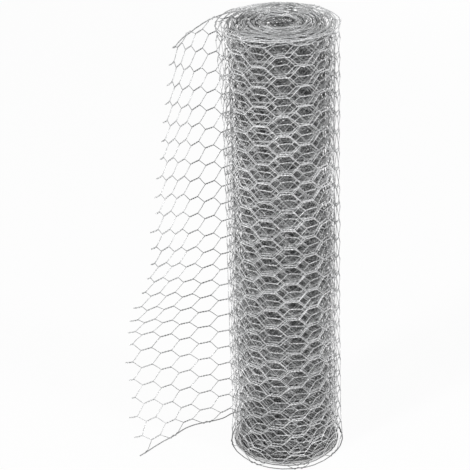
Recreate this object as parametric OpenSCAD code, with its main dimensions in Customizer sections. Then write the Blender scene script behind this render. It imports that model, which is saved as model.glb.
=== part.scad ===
// Roll of galvanised hexagonal wire netting, standing on its end, with the loose end unrolled.
// The roll is one turned solid whose turns show on both ends. The loose end is open netting:
// its twists and single wires are bars, fused where they meet.

/* [Roll] */
// Height of the roll, which is the width of the netting
roll_h = 600; // [450:10:900]
// Radius of the bore that runs down the middle
bore_r = 20.5; // [15:0.5:28]
// Outer radius of the tightly wound turns
tight_r = 68; // [58:1:80]
// Number of tightly wound turns
tight_turns = 31; // [12:1:36]
// Share of each tight turn's room that its edge wire fills on the ends
turn_fill = 0.7; // [0.5:0.05:0.85]
// Gap between the tight turns and the slack outer turn
slack_gap = 3.7; // [2:0.1:8]
// How deep the gaps between the turns go into each end
turn_gap_depth = 5; // [2:0.5:12]

/* [Netting] */
// Thickness of one wire
wire_d = 0.9; // [0.7:0.05:1.2]
// Mesh size, from one twist to the next one above it
mesh = 25.4; // [20:0.1:40]
// Length of each twist
twist_l = 16.2; // [10:0.1:20]
// Run of a single wire along the netting, from one twist to the next
single_run = 11.7; // [9:0.1:20]

/* [Loose end] */
// Whole meshes along the loose end
loose_meshes = 4; // [2:1:5]
// Bearing at which the bottom of the netting leaves the roll, in degrees
leave_bottom = 98; // [80:1:110]
// Bearing at which it leaves half way up, in degrees
leave_middle = 115; // [90:1:130]
// Bearing at which its top edge leaves, in degrees
leave_top = 126; // [90:1:140]
// How far the netting lies on the roll before its bottom edge leaves
lap_l = 14.5; // [10:0.5:30]
// Bend radius of the loose end along the floor
bend_floor = 306; // [150:1:500]
// Bend radius at the height where the loose end is flattest
bend_flat = 565; // [200:5:800]
// Bend radius half way up
bend_middle = 311; // [150:1:500]
// Bend radius along the top edge
bend_top = 210; // [150:1:500]
// Height at which the loose end is flattest
flat_z = 150; // [80:5:200]
// How much further out the cut edge reaches at the bottom than at the top
cut_slant = 12; // [0:1:40]
// Length of the twists that are left at the cut edge
stub_l = 8; // [4:0.5:14]
// Clearance between the loose end and the roll that it lies on
seat_gap = 0.3; // [0.1:0.05:0.6]

/* [Hidden] */
$fn = 96;

// Two wires twisted together, which is also how thick the slack turn is
pair_d = 2 * wire_d;
roll_r = tight_r + slack_gap + pair_d;
turn_step = (tight_r - bore_r) / (tight_turns - 1 + turn_fill);

// Bars of the loose end: half their thickness through the sheet
bar_half_t = 0.75 * wire_d;
column_step = twist_l + single_run;
last_column = 2 * loose_meshes;
sheet_h = roll_h - pair_d;

// Rows of twists in the odd columns, at least this share of a mesh in from each edge
edge_share = 0.2;
rows = floor((sheet_h - 2 * edge_share * mesh) / mesh) + 1;
edge_row = (sheet_h - (rows - 1) * mesh) / 2;

// Radius of the sheet where it lies on the roll: straight bars dip below the arc they span
longest_bar = max(twist_l, single_run);
bar_dip = roll_r - sqrt(roll_r * roll_r - longest_bar * longest_bar / 4);
sheet_r = roll_r + seat_gap + bar_dip + bar_half_t;
degree = PI / 180;
root_u = sheet_r * leave_bottom * degree - lap_l;

// Turned roll

// Inner and outer radii of the rings on each end: the tight turns and then the slack one
rings = [for (i = [0 : tight_turns - 1]) [bore_r + i * turn_step, bore_r + (i + turn_fill) * turn_step],
         [roll_r - pair_d, roll_r]];

// Stepped outline of one end, from the bore outwards, with the gaps going down to floor_z
function end_outline(face_z, floor_z) =
    let (steps = [for (ring = rings)
        each [[ring[0], floor_z], [ring[0], face_z], [ring[1], face_z], [ring[1], floor_z]]])
    [for (i = [1 : len(steps) - 2]) steps[i]];

function reversed(list) = [for (i = [len(list) - 1 : -1 : 0]) list[i]];

module roll() {
    color("silver")
        rotate_extrude()
            polygon(concat(
                end_outline(roll_h, roll_h - turn_gap_depth),
                reversed(end_outline(0, turn_gap_depth))));
}

// Loose netting, laid out flat as points [u, z]: u along the sheet and z up from its bottom edge

function is_odd(column) = column % 2 == 1;

// Odd columns have a twist in every row. Even columns have theirs half a mesh between, and are also
// joined to the edge wires
function top_row(column) = is_odd(column) ? rows + 1 : rows;

function row_z(column, row) =
    row == 0 ? 0 :
    row == top_row(column) ? sheet_h :
    edge_row + (row - (is_odd(column) ? 1 : 0.5)) * mesh;

// Each twist has two joints, its near end (0) and its far end (1). Row 0 and the top row are
// on the edge wires
pair_count = 4 * rows + 6;
function joint(column, row, end) =
    floor(column / 2) * pair_count + (is_odd(column) ? 2 * rows + 2 : 0) + 2 * row + end;

function twist_u(column, end) =
    root_u + column * column_step - twist_l / 2
    + end * (column == last_column ? stub_l : twist_l);

joints = [for (column = [0 : last_column])
    for (row = [0 : top_row(column)])
        for (end = [0, 1])
            [twist_u(column, end), row_z(column, row)]];

// The six joints round one mesh, counter-clockwise as seen from outside the roll
function mesh_loop(column, row) =
    let (side_row = is_odd(column) ? row : row + 1)
    [joint(column, row, 0), joint(column, row, 1), joint(column + 1, side_row, 0),
     joint(column, row + 1, 1), joint(column, row + 1, 0), joint(column - 1, side_row, 1)];

// The way round the outside of the sheet, clockwise, in and out along each cut wire
bottom_edge = [for (column = [last_column : -1 : 0]) each [joint(column, 0, 1), joint(column, 0, 0)]];
root_edge = [joint(0, 0, 1),
    for (row = [1 : rows - 1])
        each [joint(1, row, 0), joint(0, row, 1), joint(0, row, 0), joint(0, row, 1)],
    joint(1, rows, 0), joint(0, rows, 1)];
top_edge = [for (column = [0 : last_column])
    each [joint(column, top_row(column), 0), joint(column, top_row(column), 1)]];
cut_edge = [joint(last_column, rows, 0),
    for (row = [rows - 1 : -1 : 1])
        each [joint(last_column - 1, row + 1, 1), joint(last_column, row, 0),
              joint(last_column, row, 1), joint(last_column, row, 0)],
    joint(last_column - 1, 1, 1), joint(last_column, 0, 0)];

loops = [for (column = [1 : last_column - 1])
            for (row = [0 : top_row(column) - 1])
                mesh_loop(column, row),
         concat(bottom_edge, root_edge, top_edge, cut_edge)];

// Half the width of the bar between two joints: pairs and edge wires lie level, single wires slant
function bar_half_w(a, b) = a[1] == b[1] ? wire_d : wire_d / 2;

function left_of(a, b) = let (d = (b - a) / norm(b - a)) [-d[1], d[0]];

// Corner of a bar's edge on the left of the way a, b, c
function mitre(a, b, c) =
    let (n = left_of(a, b), m = left_of(b, c), w = bar_half_w(a, b), v = bar_half_w(b, c),
         k = n * m, s = 1 - k * k)
    s < 0.001 ? b + w * n : b + ((w - k * v) * n + (v - k * w) * m) / s;

// A cut wire turns straight back, so its end has two corners
function corners(a, b, c) =
    a == c ? [b + bar_half_w(a, b) * left_of(a, b), b + bar_half_w(b, c) * left_of(b, c)]
           : [mitre(a, b, c)];

// Each loop as its corners, each one with the joint that it belongs to
rims = [for (loop = loops)
    let (count = len(loop))
    [for (i = [0 : count - 1])
        let (a = loop[(i + count - 1) % count], b = loop[i], c = loop[(i + 1) % count])
        for (corner = corners(joints[a], joints[b], joints[c]))
            [b, corner]]];

// Where the sheet leaves the roll at a height, and how sharply it bends from there
function leave(z) = lookup(z, [[0, leave_bottom], [flat_z, leave_bottom],
    [2 * flat_z, leave_middle], [roll_h, leave_top]]);
function bend(z) = lookup(z, [[0, 1 / bend_floor], [flat_z, 1 / bend_flat],
    [2 * flat_z, 1 / bend_middle], [roll_h, 1 / bend_top]]);

function around(centre, radius, angle) = centre + radius * [cos(angle), sin(angle)];

// Flat point to its place: round the roll first, then off it along a wider arc
function on_sheet(point, lift) =
    let (z = point[1],
         u = point[0] + cut_slant * (0.5 - z / sheet_h),
         bearing = leave(z),
         past = u - sheet_r * bearing * degree,
         radius = past > 0 ? 1 / bend(z) : sheet_r,
         centre = around([0, 0], sheet_r - radius, bearing),
         place = around(centre, radius + lift, bearing + past / radius / degree))
    [place[0], place[1], z + pair_d / 2];

// Two ridge points at each joint, outside and inside, and then the rims
net_points = concat(
    [for (point = joints) each [on_sheet(point, bar_half_t), on_sheet(point, -bar_half_t)]],
    [for (rim = rims) for (corner = rim) on_sheet(corner[1], 0)]);

rim_starts = [for (i = 0, start = 2 * len(joints); i < len(rims);
                   start = start + len(rims[i]), i = i + 1) start];

// Slopes from the rims up to the outer ridges and down to the inner ones
net_faces = [for (i = [0 : len(rims) - 1])
    let (rim = rims[i], count = len(rim))
    for (j = [0 : count - 1])
        let (k = (j + 1) % count, a = rim[j][0], b = rim[k][0],
             p = rim_starts[i] + j, q = rim_starts[i] + k)
        each concat([[2 * a, p, q], [2 * a + 1, q, p]],
                    a == b ? [] : [[2 * a, q, 2 * b], [2 * a + 1, 2 * b + 1, q]])];

module loose_end() {
    color("gainsboro")
        polyhedron(points = net_points, faces = net_faces, convexity = 10);
}

roll();
loose_end();
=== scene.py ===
import math
from types import SimpleNamespace
import bpy
import numpy as np
from mathutils import Matrix, Vector


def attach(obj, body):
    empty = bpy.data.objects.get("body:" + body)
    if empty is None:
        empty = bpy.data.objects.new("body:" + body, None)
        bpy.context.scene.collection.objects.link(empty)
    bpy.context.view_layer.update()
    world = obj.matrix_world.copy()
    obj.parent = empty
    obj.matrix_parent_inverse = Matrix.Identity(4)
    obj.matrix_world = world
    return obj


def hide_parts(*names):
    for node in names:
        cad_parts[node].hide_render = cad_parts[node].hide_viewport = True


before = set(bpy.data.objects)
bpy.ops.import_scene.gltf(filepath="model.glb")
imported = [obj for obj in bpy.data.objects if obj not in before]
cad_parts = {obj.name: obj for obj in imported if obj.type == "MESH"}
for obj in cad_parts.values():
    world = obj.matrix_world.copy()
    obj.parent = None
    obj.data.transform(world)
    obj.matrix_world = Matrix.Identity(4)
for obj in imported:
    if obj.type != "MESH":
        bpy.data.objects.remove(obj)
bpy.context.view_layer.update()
scene = bpy.context.scene
mm = 0.001  # sizes below are in millimetres unless they say metres, and Blender works in metres
print("frame loaded:", sorted(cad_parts))


class Val:  # one node socket, so that node maths reads as plain Python
    def __init__(self, socket):
        self.socket = socket

    def add(self, kind, sockets=None, out=0, **settings):  # any node, put in this socket's own tree
        tree = self.socket.id_data
        node = tree.nodes.new(kind)
        for name, value in settings.items():
            setattr(node, name, value)
        for key, value in (sockets or {}).items():
            if isinstance(value, Val):
                tree.links.new(value.socket, node.inputs[key])
            else:
                node.inputs[key].default_value = value
        return Val(node.outputs[out]) if node.outputs else node

    def math(self, operation, *values):
        return self.add("ShaderNodeMath", dict(enumerate(values)), operation=operation)

    def __add__(self, other):
        return self.math("ADD", self, other)

    def __radd__(self, other):
        return self.math("ADD", other, self)

    def __sub__(self, other):
        return self.math("SUBTRACT", self, other)

    def __rsub__(self, other):
        return self.math("SUBTRACT", other, self)

    def __mul__(self, other):
        return self.math("MULTIPLY", self, other)

    def __rmul__(self, other):
        return self.math("MULTIPLY", other, self)

    def __truediv__(self, other):
        return self.math("DIVIDE", self, other)

    def __rtruediv__(self, other):
        return self.math("DIVIDE", other, self)

    def __mod__(self, other):
        return self.math("FLOORED_MODULO", self, other)

    def __lt__(self, other):
        return self.math("LESS_THAN", self, other)

    def __gt__(self, other):
        return self.math("GREATER_THAN", self, other)

    def floor(self):
        return self.math("FLOOR", self)

    def root(self):
        return self.math("SQRT", self)

    def sin(self):
        return self.math("SINE", self)

    def cos(self):
        return self.math("COSINE", self)

    def least(self, other):
        return self.math("MINIMUM", self, other)

    def most(self, other):
        return self.math("MAXIMUM", self, other)

    def between(self, low, high):  # low where this is 0, high where it is 1
        return low + (high - low) * self

    def ease(self, low, high):  # 0 below low, 1 above high, smooth between
        ends = {"Value": self, "From Min": low, "From Max": high}
        return self.add("ShaderNodeMapRange", ends, interpolation_type="SMOOTHSTEP")

    def easeMm(self, ends):  # the same on metres, between two sizes in millimetres
        return self.ease(*[end * mm for end in ends])

    def facing(self, angle):  # for an angle: 1 towards the other one and 0 away from it
        return 0.5 + 0.5 * (self - angle).cos()

    def vector(self, y, z):
        return self.add("ShaderNodeCombineXYZ", {"X": self, "Y": y, "Z": z})

    def parts(self, axes):  # of a vector
        return [self.add("ShaderNodeSeparateXYZ", {0: self}, out=axis) for axis in axes]

    def distance(self):  # of a vector from the upright axis
        x, y = self.parts("XY")
        return (x * x + y * y).root()

    def noise(self, scale):  # three values about 0, for a vector
        sockets = {"Vector": self, "Scale": scale, "Detail": 1.0}
        colour = self.add("ShaderNodeTexNoise", sockets, out="Color")
        return [2 * part - 1 for part in colour.parts("XYZ")]

    def mixColour(self, factor, first, second, blend):  # a Mix node's colours are inputs 6 and 7, output 2
        sockets = {"Factor": factor, 6: first, 7: second}
        return self.add("ShaderNodeMix", sockets, out=2, data_type="RGBA", blend_type=blend)


# Camera, fitted to the outline of the roll
camera = {
    "place": (-61.6, -1847.8, 1249.7),
    "down": 26.9,  # degrees below level
    "lean": 1.86,  # degrees that the picture leans to the left
    "focalPixels": 1608,
    "imagePixels": 470,
    "sensor": 36.0,
    "clipEnd": 100,  # metres
}


def addCamera():
    data = bpy.data.cameras.new("camera")
    data.sensor_width = camera["sensor"]
    data.lens = camera["sensor"] * camera["focalPixels"] / camera["imagePixels"]
    data.clip_end = camera["clipEnd"]
    eye = bpy.data.objects.new("camera", data)
    scene.collection.objects.link(eye)
    tilt = Matrix.Rotation(math.radians(90 - camera["down"]), 4, "X")
    lean = Matrix.Rotation(math.radians(-camera["lean"]), 4, "Z")
    eye.matrix_world = Matrix.Translation([p * mm for p in camera["place"]]) @ tilt @ lean
    scene.camera = eye


addCamera()
print("camera placed")


# Floor, backdrop and light, in metres
studio = {
    "floorSize": 60.0,
    "wallHeight": 6.0,  # of the backdrop round the floor
    "floorGrey": 0.75,
    "floorRoughness": 0.9,
    "floorSpecular": 0.1,
    "floorGlow": 0.95,  # share of plain white that the camera and the metal see there
    "shadowRadius": (0.062, 0.074),  # inside which the floor shows its own shade
    "skyLevel": 0.2,  # of the light from all round
    "aimHeight": 0.3,  # of the spot on the roll that the lamps face
    "lamps": [  # name, place, width, watts
        ("keyLamp", (-2.1, -1.8, 2.6), 0.45, 98),
        ("fillLamp", (2.2, -1.5, 1.9), 0.45, 47),
        ("backLamp", (0.9, 3.0, 0.8), 0.6, 24),
    ],
}


def showsBackdrop(tree):  # 1 for the rays that see the floor and the walls as white
    rays = tree.nodes.new("ShaderNodeLightPath")
    kinds = ("Camera", "Glossy", "Transmission")
    eye, shine, through = [Val(rays.outputs[f"Is {kind} Ray"]) for kind in kinds]
    return eye.most(shine).most(through)


def floorPaint():
    paint = bpy.data.materials.new("floorPaint")
    paint.use_nodes = True
    tree = paint.node_tree
    shader = tree.nodes["Principled BSDF"]
    grey = studio["floorGrey"]
    shader.inputs["Base Color"].default_value = (grey, grey, grey, 1)
    shader.inputs["Roughness"].default_value = studio["floorRoughness"]
    shader.inputs["Specular IOR Level"].default_value = studio["floorSpecular"]
    where = Val(tree.nodes.new("ShaderNodeTexCoord").outputs["Object"])
    beyond = where.distance().ease(*studio["shadowRadius"])  # the floor under the roll keeps its shadow
    seen = showsBackdrop(tree)
    white = seen.add("ShaderNodeEmission", {"Color": (1, 1, 1, 1), "Strength": 1.0})
    shades = {0: seen * beyond * studio["floorGlow"], 1: Val(shader.outputs[0]), 2: white}
    mixed = seen.add("ShaderNodeMixShader", shades)
    tree.links.new(mixed.socket, tree.nodes["Material Output"].inputs["Surface"])
    return paint


def addFloor():
    half = studio["floorSize"] / 2
    corners = [(-half, -half), (half, -half), (half, half), (-half, half)]
    points = [(x, y, z) for z in (0, studio["wallHeight"]) for x, y in corners]
    walls = [(side, (side + 1) % 4, (side + 1) % 4 + 4, side + 4) for side in range(4)]
    mesh = bpy.data.meshes.new("floor")
    mesh.from_pydata(points, [], [(0, 1, 2, 3), *walls])
    mesh.materials.append(floorPaint())
    floor = bpy.data.objects.new("floor", mesh)
    scene.collection.objects.link(floor)


def addLight():
    world = bpy.data.worlds.new("studio")
    world.use_nodes = True
    scene.world = world
    sky = world.node_tree.nodes["Background"]
    sky.inputs["Color"].default_value = (1, 1, 1, 1)
    sky.inputs["Strength"].default_value = studio["skyLevel"]
    for name, place, width, watts in studio["lamps"]:
        data = bpy.data.lights.new(name, "AREA")
        data.size = width
        data.energy = watts
        lamp = bpy.data.objects.new(name, data)
        scene.collection.objects.link(lamp)
        lamp.location = place
        aim = Vector((0, 0, studio["aimHeight"])) - lamp.location
        lamp.rotation_euler = aim.to_track_quat("-Z", "Y").to_euler()


addFloor()
addLight()
print("studio lit")


# Galvanised wire: spangles and larger patches of dull and bright zinc, with painted shade on the inner
# turns, on the wires along the floor and on the loose end
zinc = {
    "dull": (0.46, 0.465, 0.47),
    "bright": (0.96, 0.965, 0.97),
    "metallic": 0.4,
    "specular": 0.5,
    "roughness": (0.34, 0.58),  # where it is bright and where it is dull
    "spangle": 420.0,  # noise cells in a metre
    "spangleDetail": 2.0,
    "spangleShare": 0.55,  # against that of the patches
    "patches": 14.0,
    "patchDetail": 3.0,
    "shineEnds": (0.32, 0.68),  # the noise at which the wire is dull and bright
    "inside": 0.56,  # painted shade of the inner turns, but for their top edge wires, where 1 is the full colour
    "insideShadeRadii": (56, 72),  # radii from that painted shade to the full colour
    "foot": 0.32,  # painted shade of the wires along the floor, where 1 is the full colour
    "footShadeHeights": (2, 14),
    "footShadeLoose": 0.45,  # how far those of the loose end are spared from that painted shade
    "loose": 0.8,  # painted shade of the loose end, where 1 is the full colour
    "looseShadeRadii": (80, 110),
}


def galvanised():
    steel = bpy.data.materials.new("galvanisedWire")
    steel.use_nodes = True
    tree = steel.node_tree
    shader = tree.nodes["Principled BSDF"]
    where = Val(tree.nodes.new("ShaderNodeTexCoord").outputs["Object"])
    spangle, patches = [
        where.add("ShaderNodeTexNoise", {"Vector": where, "Scale": zinc[scale], "Detail": zinc[detail]})
        for scale, detail in (("spangle", "spangleDetail"), ("patches", "patchDetail"))
    ]
    share = zinc["spangleShare"]
    shine = (spangle * share + patches * (1 - share)).ease(*zinc["shineEnds"])
    colour = shine.mixColour(shine, (*zinc["dull"], 1), (*zinc["bright"], 1), "MIX")

    # painted shade: the inner turns but for their top edge wires, the wires along the floor and the loose
    # end are painted darker, standing in for the shade they lie in
    height = where.parts("Z")[0]
    radius = where.distance()
    # the top edge wires are spared from the painted shade of the inner turns
    topEdge = where.add("ShaderNodeAttribute", out="Fac", attribute_name="topEdge")
    outside = radius.easeMm(zinc["insideShadeRadii"]).most(topEdge)
    away = radius.easeMm(zinc["looseShadeRadii"])
    standing = height.easeMm(zinc["footShadeHeights"]).most(away * zinc["footShadeLoose"])
    paintedShade = outside.between(zinc["inside"], 1) * standing.between(zinc["foot"], 1) \
        * away.between(1, zinc["loose"])
    # the painted shade darkens the zinc colour
    paintedShadeColour = colour.mixColour(1.0, colour, paintedShade, "MULTIPLY")

    smooth, rough = zinc["roughness"]
    tree.links.new(paintedShadeColour.socket, shader.inputs["Base Color"])
    tree.links.new(shine.between(rough, smooth).socket, shader.inputs["Roughness"])
    shader.inputs["Metallic"].default_value = zinc["metallic"]
    shader.inputs["Specular IOR Level"].default_value = zinc["specular"]
    return steel


wireZinc = galvanised()
print("wire material made")


# Netting: every wire is twisted with the one above it and the one below it in turn
netting = {
    "height": 597.0,  # between the two edge wires
    "mesh": 25.4,
    "wires": 48,
    "wire": 0.9,
    "edgeWire": 1.5,
    "twist": 16.2,
    "single": 11.7,
    "twistTurns": 2.0,
    "curl": 0.12,  # how far the single wires bend into an S
    "pinch": 3.0,  # how much higher the lowest twists sit than the mesh would put them
    "stubLeast": 0.6,  # shortest of the last twists, as a share of their stated length
    "stubSpread": 0.9,  # and how much longer the longest one is
    "kickLeast": 0.4,  # the same for how far they spring back
    "kickSpread": 1.2,
    "edgeTail": 9.0,  # how far the lower edge wire runs on past the last twists
    "foot": 1.8,  # height of the lower edge wire's middle
    "footShare": 0.05,  # share of the height over which the wires begin to sway
    "slant": 12.0,  # how much further round the twists are at the foot than at the top
    "slantMore": 12.0,  # added to that inside the roll
    "slantOver": 900.0,  # length of sheet over which it is added
    "ripple": 0.9,  # wobble through the sheet
    "sway": 1.0,  # wobble along the sheet
    "swayFree": 1.6,  # added to that on the loose end
    "freeOver": 90.0,  # length over which it is added
    "swayCell": 60.0,  # unit of length of both wobbles
    "swayScale": 1.3,  # waves of them in that unit
    "wanderScale": 0.45,  # and of the slower wander of whole turns
    "slip": 8.0,  # how far the turns have slid round on each other
    "slipMore": 30.0,  # added to that deep inside
    "slipRise": 2.5,  # and up or down half way up
    "slipCell": 260.0,  # length of sheet from one slip to the next
    "slipCellHeight": 300.0,
    "woundOver": 200.0,  # length over which the slips begin
    "deepFrom": 1500.0,  # lengths between which the sheet gets deep inside
    "deepTo": 4000.0,
    "crushCell": 60.0,  # from one dent of the roll to the next
    "crushCellHeight": 260.0,
    "seed": 3.0,
    "slipSeed": 12.0,
}
columnStep = netting["single"] + netting["twist"]
rowScatter = (12.99, 437.58)  # factors of the sine that gives each row its own chance


def netPoint(size, index):  # where a numbered point lies on the flat sheet
    perColumn = size.singleSteps + size.twistSteps
    perWire = size.columns * perColumn + 1
    line = (index / perWire).floor()  # the first line and the last are the edge wires
    step = index - line * perWire
    column = (step / perColumn).floor().least(size.columns - 1)
    inColumn = step - column * perColumn
    s = (inColumn / size.singleSteps).least(1)  # along the single wire
    t = (inColumn - size.singleSteps).most(0) / size.twistSteps  # along the twist
    last = column > size.columns - 1.5
    chance = (((line / 2).floor() * rowScatter[0]).sin() * rowScatter[1]) % 1
    twistHere = last.between(size.twist, size.stub * (size.stubLeast + size.stubSpread * chance))
    wire = line - 1
    bottom = wire < -0.5
    tail = last * t * size.edgeTail * bottom
    u = column * (size.single + size.twist) + s * size.single + t * twistHere + tail

    odd = (size.firstColumn + column) % 2
    edgeRow = (size.height - (size.wires / 2 - 1) * size.mesh) / 2
    lowest = wire < 0.5
    highest = wire > size.wires - 1.5
    toEdge = (edgeRow - size.mesh / 2) * (highest - lowest)
    zEven = edgeRow + (wire / 2).floor() * size.mesh + size.pinch * (wire < 1.5)
    zOdd = edgeRow + (((wire - 1) / 2).floor() + 0.5) * size.mesh + toEdge
    zHere = odd.between(zEven, zOdd)
    zBefore = odd.between(zOdd, zEven)
    bend = s + size.curl * (s * s * (3 - 2 * s) - s)
    z = bend.between(zBefore, zHere)

    side = 2 * ((wire + size.firstColumn + column) % 2) - 1  # above its partner or below it
    onEdge = lowest + highest
    reach = (size.wire + onEdge * odd * size.edgeWire) / 2
    reachBefore = (size.wire + onEdge * (1 - odd) * size.edgeWire) / 2
    phase = t * size.twistTurns * twistHere / size.twist * math.tau
    rise = side * (reach * phase.cos() * bend - reachBefore * (1 - bend))
    lift = side * reach * phase.sin()

    top = wire > size.wires - 0.5
    edge = bottom + top
    body = 1 - edge
    z = z * body + size.height * top
    chord = size.twist * size.twist * t * (1 - t) + size.single * size.single * s * (1 - s)
    kick = last * size.kick * (size.kickLeast + size.kickSpread * chance) * t * t  # cut ends spring back
    return SimpleNamespace(perWire=perWire, line=line, step=step, edge=edge, top=top, u=u, z=z,
                           rise=rise * body, lift=lift * body + kick, chord=chord)


def onTurns(size, u, z, lift, chord):  # wound up: a spiral that grows by one step each turn
    radius = (size.startRadius * size.startRadius + u * size.turnStep / math.pi).root()
    angle = size.startAngle + math.tau * (radius - size.startRadius) / size.turnStep
    cosine, sine = angle.cos(), angle.sin()
    slack = radius.ease(size.tightRadius, size.rootRadius)

    gapFrom, gapFull, gapTo = [size.coreRadius + more for more in (size.gapFrom, size.gapFull, size.gapTo)]
    apart = radius.ease(gapFrom, gapFull) - radius.ease(gapFull, gapTo)
    bound = radius.ease(size.coreRadius, gapFull) * (1 - slack)
    drift = cosine.vector(sine, radius / size.driftStep).noise(1.0)[0]
    ring = (radius / size.ringGap + drift * size.ringDrift) % 1
    bunch = (ring.ease(size.ringFrom, size.ringTo) - ring) * size.ringGap  # turns lie close or apart
    around = (cosine * size.levelWaves).vector(sine * size.levelWaves, radius / size.ringGap)
    level = around.noise(1.0)[0]

    flareFrom, flareTo = size.tightRadius - size.flareInside, size.tightRadius + size.flareOutside
    flare = angle.facing(size.flareAngle) * (1 - z.ease(0, size.flareHeight)) \
        * radius.ease(flareFrom, flareTo)
    behind = angle.facing(size.tuckAngle)
    tuck = size.tuck * z.ease(size.height * size.tuckFrom, size.height) * slack * behind * behind
    beside = angle.facing(size.standAngle)
    stand = z.ease(size.height * size.standFrom, size.height) * beside * beside * beside \
        * radius.ease(size.tightRadius, size.tightRadius + size.standOver)
    out = radius + size.bunch * bunch * bound + size.coreGap * apart - chord / (2 * radius) - tuck + lift \
        + size.flare * flare * flare + size.stand * stand
    return out * cosine, out * sine, size.level * level * bound


def onLooseEnd(size, u, z, lift, chord):  # round the roll first, then off it on a wider arc
    rise = (z / size.flatHeight).least(1)
    low = rise * (2 - rise)
    middle = (z / size.flatHeight - 1).most(0).least(1)
    high = ((z - 2 * size.flatHeight) / (size.height - 2 * size.flatHeight)).most(0)
    leave = middle.between(size.leaveFoot, size.leaveMiddle) + (size.leaveTop - size.leaveMiddle) * high
    bends = (size.bendFoot, size.bendFlat, size.bendMiddle, size.bendTop)
    curveFoot, curveFlat, curveMiddle, curveTop = [1 / bend for bend in bends]
    curve = low.between(curveFoot, curveFlat) + (curveMiddle - curveFlat) * middle \
        + (curveTop - curveMiddle) * high
    past = (u - size.rootRadius * leave) * (1 + size.reach * (1 - z.ease(0, size.reachHeight)))
    free = past > 0
    root = size.rootRadius - size.tuck * z.ease(size.height * size.tuckFrom, size.height)
    radius = 1 / curve
    angle = leave + past.most(0) * curve + past.least(0) / size.rootRadius
    waves = ((past - size.waveAt) / size.waveLength).least(1)  # stays in front from the second one on
    wave = (1 + (waves * math.tau).cos()) * past.ease(size.waveAt - size.waveRise, size.waveAt) \
        * (1 - z.ease(0, size.waveHeight))
    out = free.between(root, radius) - chord / (2 * radius) + lift - size.wave * wave
    centre = free * (root - radius)
    return centre * leave.cos() + out * angle.cos(), centre * leave.sin() + out * angle.sin(), 0.0


def nettingTree(name, sizes, place):
    tree = bpy.data.node_groups.new(name, "GeometryNodeTree")
    for key, value in sizes.items():
        kind = "NodeSocketInt" if isinstance(value, int) else "NodeSocketFloat"
        tree.interface.new_socket(key, in_out="INPUT", socket_type=kind)
    tree.interface.new_socket("Geometry", in_out="OUTPUT", socket_type="NodeSocketGeometry")
    given = tree.nodes.new("NodeGroupInput")
    size = SimpleNamespace(**{key: Val(given.outputs[key]) for key in sizes})

    index = size.mesh.add("GeometryNodeInputIndex")
    point = netPoint(size, index)
    share = point.z / size.height
    along = size.startU + point.u
    inward = -1 * along
    wound = inward.ease(0, size.woundOver)
    deep = inward.ease(size.deepFrom, size.deepTo)
    flat = (along / size.swayCell).vector(point.z / size.swayCell, size.seed)
    swayU, swayZ, ripple = flat.noise(size.swayScale)
    bulge = flat.noise(size.wanderScale)[0]
    sway = size.sway + size.swayFree * along.ease(0, size.freeOver)
    slant = size.slant + size.slantMore * inward.ease(0, size.slantOver)
    slide = (along / size.slipCell).vector(point.z / size.slipCellHeight, size.slipSeed)
    slip, slipRise, slipDeep = slide.noise(1.0)
    u = point.u + size.placeU + sway * swayU + slant * (0.5 - share) \
        + (size.slip * slip + size.slipMore * slipDeep * deep) * wound
    lift = point.lift + size.ripple * ripple + size.wander * bulge
    x, y, level = place(size, u, point.z, lift, point.chord)

    dents = (x / size.crushCell).vector(y / size.crushCell, point.z / size.crushCellHeight)
    crushX, crushY, settle = dents.noise(1.0)
    swayed = sway * swayZ * (1 - point.edge) * share.ease(0, size.footShare)
    settled = (size.settle * settle + level) * share
    slid = size.slipRise * slipRise * wound * 4 * share * (1 - share)
    z = size.foot + point.z + point.rise + swayed + settled + slid
    position = ((x + size.crush * crushX) * mm).vector((y + size.crush * crushY) * mm, z * mm)

    count = point.perWire * (size.wires + 2)
    points = size.mesh.add("GeometryNodePoints", {"Count": count, "Position": position})
    lines = points.add("GeometryNodePointsToCurves",
                       {"Points": points, "Curve Group ID": point.line, "Weight": point.step})
    # the top edge wires are marked, so that the wire material spares them its painted shade
    marked = lines.add("GeometryNodeStoreNamedAttribute",
                       {"Geometry": lines, "Name": "topEdge", "Value": point.top},
                       data_type="FLOAT", domain="POINT")
    ring = lines.add("GeometryNodeCurvePrimitiveCircle", {"Resolution": size.sides, "Radius": mm / 2})
    thick = point.edge.between(size.wire, size.edgeWire)
    tubes = lines.add("GeometryNodeCurveToMesh",
                      {"Curve": marked, "Profile Curve": ring, "Scale": thick, "Fill Caps": True})
    smooth = tubes.add("GeometryNodeSetShadeSmooth", {"Geometry": tubes})
    real = smooth.add("GeometryNodeRealizeInstances", {"Geometry": smooth})
    done = real.add("GeometryNodeSetMaterial", {"Geometry": real, "Material": wireZinc})
    done.add("NodeGroupOutput", {0: done})
    return tree


# Bake map: each wire is unrolled as a strip of its own
wireMap = {
    "sideMargin": 0.06,  # kept free along each side of a strip, as a share of its width
    "endMargin": 0.01,  # and at its ends, as a share of the map
}


def layWireMap(mesh, sizes):
    lines = sizes["wires"] + 2
    points = sizes["columns"] * (sizes["singleSteps"] + sizes["twistSteps"]) + 1
    sides = sizes["sides"]
    corner = np.empty(len(mesh.loops), np.int64)
    mesh.loops.foreach_get("vertex_index", corner)
    starts = np.empty(len(mesh.polygons), np.int64)
    mesh.polygons.foreach_get("loop_start", starts)
    line, rest = np.divmod(corner, points * sides)
    step, turn = np.divmod(rest, sides)
    face = np.searchsorted(starts, np.arange(len(corner)), side="right") - 1
    widest = np.zeros(len(starts), np.int64)
    np.maximum.at(widest, face, turn)
    turn = np.where((turn == 0) & (widest[face] == sides - 1), sides, turn)  # the seam's far side
    sideMargin, endMargin = wireMap["sideMargin"], wireMap["endMargin"]
    across = sideMargin + (1 - 2 * sideMargin) * turn / sides
    along = endMargin + (1 - 2 * endMargin) * step / (points - 1)
    spots = np.stack([along, (line + across) / lines], 1).astype(np.float32)
    layer = mesh.uv_layers.new(name="OFBake")
    layer.data.foreach_set("uv", spots.ravel())


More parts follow.
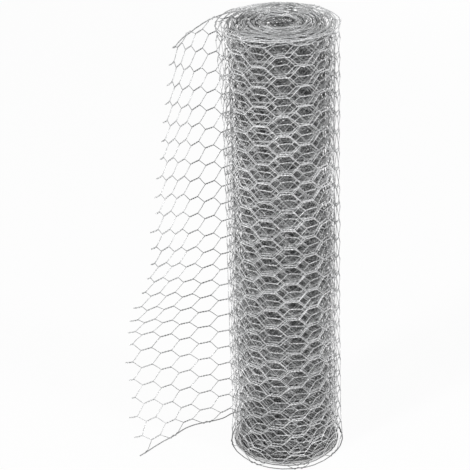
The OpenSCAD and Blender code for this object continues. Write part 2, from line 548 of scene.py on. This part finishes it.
def makeNetting(name, own, place):
    sizes = {**netting, **own}
    tree = nettingTree(name + "Tree", sizes, place)
    holder = bpy.data.objects.new(name, bpy.data.meshes.new(name + "Start"))
    scene.collection.objects.link(holder)
    modifier = holder.modifiers.new("netting", "NODES")
    modifier.node_group = tree
    for item in tree.interface.items_tree:
        if item.in_out == "INPUT":
            modifier[item.identifier] = sizes[item.name]
    bpy.context.view_layer.update()
    ready = holder.evaluated_get(bpy.context.evaluated_depsgraph_get())
    mesh = bpy.data.meshes.new_from_object(ready)
    mesh.name = name
    holder.modifiers.clear()
    holder.data = mesh
    layWireMap(mesh, sizes)
    print(name, "made:", len(mesh.polygons), "faces")
    return holder


# The wound turns
turns = {
    "rootRadius": 74.9,  # of the outermost turn, where the loose end leaves it
    "tightRadius": 67.0,
    "coreRadius": 21.4,
    "coreGap": 2.0,  # room round the innermost turns
    "gapFrom": 3.0,  # beyond the core, where that room begins, is widest and has closed again
    "gapFull": 7.0,
    "gapTo": 26.0,
    "tuck": 5.0,  # how much closer the outermost turn lies at the top
    "tuckAngle": math.radians(100),  # and on which side
    "tuckFrom": 0.72,  # and from which share of the height
    "stand": 6.0,  # how much further out the slack turns stand at the top
    "standAngle": math.pi,  # and on which side
    "standFrom": 0.76,  # and from which share of the height
    "standOver": 4.0,  # beyond the tight turns, where they stand out in full
    "flare": 8.0,  # how far the slack turns stand out at the foot
    "flareAngle": math.radians(266),  # and towards which side
    "flareHeight": 75.0,
    "flareInside": 4.0,  # inside the outermost tight turn, where the flare begins
    "flareOutside": 5.0,  # and outside it, where it is full
    "bunch": 0.95,  # how far the turns bunch into rings
    "ringGap": 6.2,  # from one such ring to the next
    "ringFrom": 0.3,  # shares of that gap between which the turns lie apart
    "ringTo": 0.7,
    "ringDrift": 0.6,  # how the rings wander, as a share of that gap
    "driftStep": 25.0,  # from one such drift to the next, across the turns
    "level": 8.0,  # unevenness of each ring against the next one
    "levelWaves": 1.5,  # how quickly it changes round the roll
    "settle": 2.0,  # unevenness of the whole top end
    "crush": 2.2,  # how far the roll is out of round
    "wander": 0.8,  # how far whole turns lie further in or out
    "kick": 0.0,  # no cut ends here
    "stub": netting["twist"],  # so the last twists are about as long as the others
    "placeU": 0.0,
}
groups = {  # stretches of the sheet, from the slack outermost turns inwards
    "slackTurns": {"columns": 31, "turnStep": 4.0, "singleSteps": 3, "twistSteps": 12,
                   "twistTurns": 2.0, "sides": 4, "edgeWire": 1.5},
    "outerTurns": {"columns": 45, "turnStep": 1.547, "singleSteps": 3, "twistSteps": 8,
                   "twistTurns": 2.0, "sides": 4, "edgeWire": 0.95},
    "middleTurns": {"columns": 130, "turnStep": 1.38, "singleSteps": 1, "twistSteps": 4,
                    "twistTurns": 1.0, "sides": 3, "edgeWire": 0.95},
    "innerTurns": {"columns": 150, "turnStep": 1.38, "singleSteps": 1, "twistSteps": 3,
                   "twistTurns": 1.0, "sides": 3, "edgeWire": 0.95},
}

# The loose end, as in the CAD model
loose = {
    "columns": 9,
    "firstColumn": 1,
    "singleSteps": 4,
    "twistSteps": 14,
    "sides": 6,
    "wire": 1.0,
    "leaveFoot": math.radians(98),  # bearings at which it leaves the roll
    "leaveMiddle": math.radians(115),
    "leaveTop": math.radians(126),
    "bendFoot": 306.0,
    "bendFlat": 565.0,
    "bendMiddle": 311.0,
    "bendTop": 210.0,
    "flatHeight": 150.0,
    "wave": 3.4,  # how far its foot waves to the front
    "waveAt": 85.0,  # from where it leaves the roll to the first wave
    "waveRise": 27.0,  # length over which that one rises
    "waveLength": 93.0,
    "waveHeight": 35.0,
    "reach": 0.03,  # how much longer the sheet lies at the foot, as a share
    "reachHeight": 170.0,
    "stub": 8.5,  # length of the cut twists
    "kick": 2.5,  # how far they spring back
    "startU": 0.0,
    **{key: turns[key] for key in ("rootRadius", "tuck", "tuckFrom", "crush", "settle", "wander")},
}
lap = 14.5  # wound on the roll before the foot of the sheet leaves it
firstTwist = loose["rootRadius"] * loose["leaveFoot"] - lap
loose["placeU"] = firstTwist - netting["twist"] / 2 - netting["single"]

pieces = {"looseEnd": makeNetting("looseEnd", loose, onLooseEnd)}
endRadius = loose["rootRadius"]
endAngle = loose["placeU"] / loose["rootRadius"]
firstColumn = loose["firstColumn"]
for name, group in groups.items():
    length = group["columns"] * columnStep
    startRadius = math.sqrt(endRadius ** 2 - length * group["turnStep"] / math.pi)
    startAngle = endAngle - math.tau * (endRadius - startRadius) / group["turnStep"]
    firstColumn -= group["columns"]
    startU = (firstColumn - loose["firstColumn"]) * columnStep
    start = {"firstColumn": firstColumn, "startU": startU,
             "startRadius": startRadius, "startAngle": startAngle}
    pieces[name] = makeNetting(name, {**turns, **group, **start}, onTurns)
    endRadius, endAngle = startRadius, startAngle
print("innermost turn at radius", round(endRadius, 2))

for name, piece in pieces.items():
    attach(piece, "root")
    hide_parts("loose_end" if name == "looseEnd" else "roll")

scene.view_settings.view_transform = "Standard"
